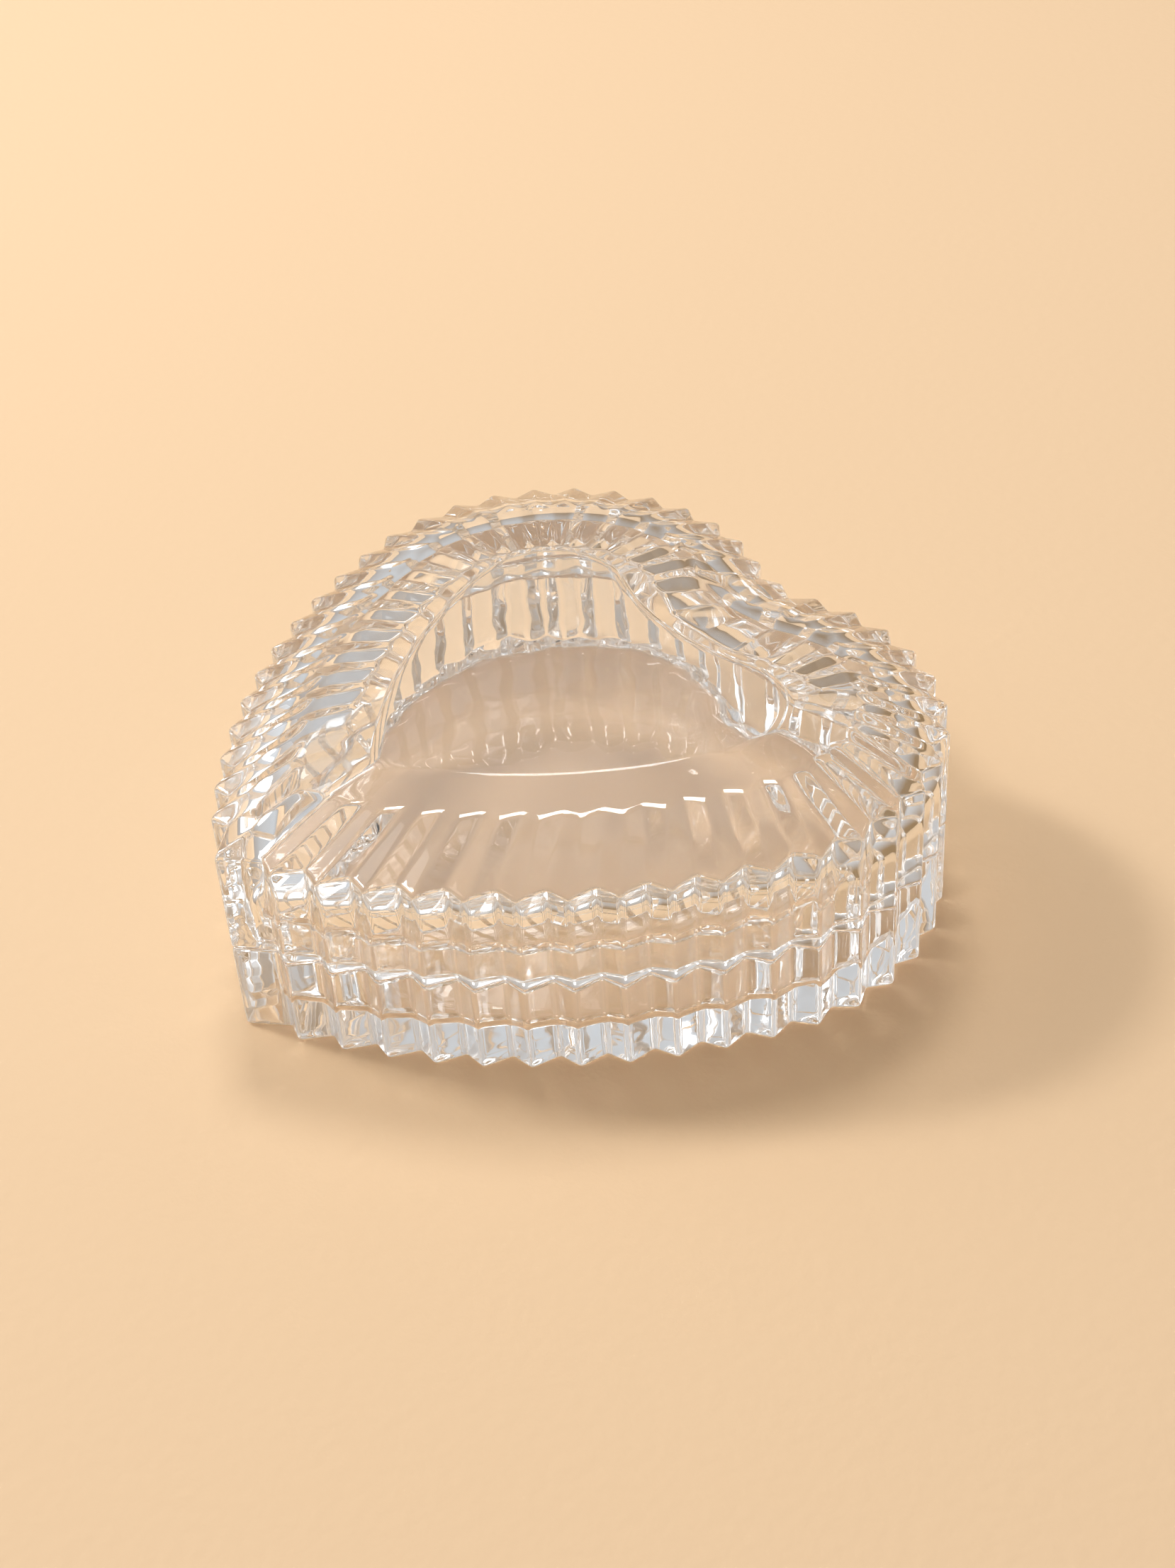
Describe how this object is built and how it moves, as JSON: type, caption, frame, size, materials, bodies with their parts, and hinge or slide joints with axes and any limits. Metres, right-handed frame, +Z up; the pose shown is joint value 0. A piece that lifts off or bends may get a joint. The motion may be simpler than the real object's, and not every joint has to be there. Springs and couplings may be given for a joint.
{
  "type": "heart-shaped trinket box",
  "caption": "Heart-shaped trinket box of clear pressed glass: a ribbed base with a raised locating lip and a ribbed lid that lifts straight off.",
  "frame": {"origin": "centre of the outline's box on the flat underside of the base", "axes": "+Z up towards the lid, +Y from the heart's tip towards the notch, +X towards one lobe"},
  "size_m": [0.1, 0.097, 0.033],
  "materials": {
    "base_glass": "polished clear pressed glass",
    "lid_glass": "polished clear pressed glass"
  },
  "bodies": {
    "base": {"base": "base_glass"},
    "lid": {"lid": "lid_glass"}
  },
  "joints": [
    {"name": "lid_lift", "type": "slide", "parent": "base", "child": "lid", "axis": [0, 0, 1], "range_m": [0, 0.05]}
  ]
}
